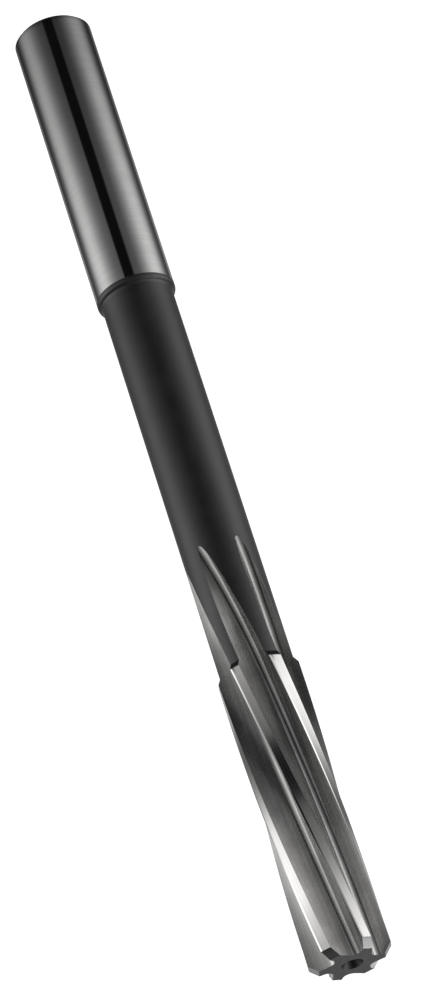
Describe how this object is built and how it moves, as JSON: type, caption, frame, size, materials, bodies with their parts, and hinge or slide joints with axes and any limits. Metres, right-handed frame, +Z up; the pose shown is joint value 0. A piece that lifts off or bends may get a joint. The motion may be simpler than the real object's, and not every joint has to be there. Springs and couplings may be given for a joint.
{
  "type": "machine reamer",
  "caption": "One-piece high-speed-steel machine reamer with a ground straight shank, a dark slimmer neck and helical teeth with a chamfered lead.",
  "frame": {"origin": "centre of the shank's end face, on the tool axis", "axes": "+X along the tool axis towards the cutting tip, +Z up with the tool lying on its side, +Y completes a right-handed frame"},
  "size_m": [0.133, 0.01, 0.01],
  "materials": {
    "tool_steel": "ground bright shank and flutes, blackened neck"
  },
  "bodies": {
    "root": {"reamer": "tool_steel"}
  },
  "joints": []
}
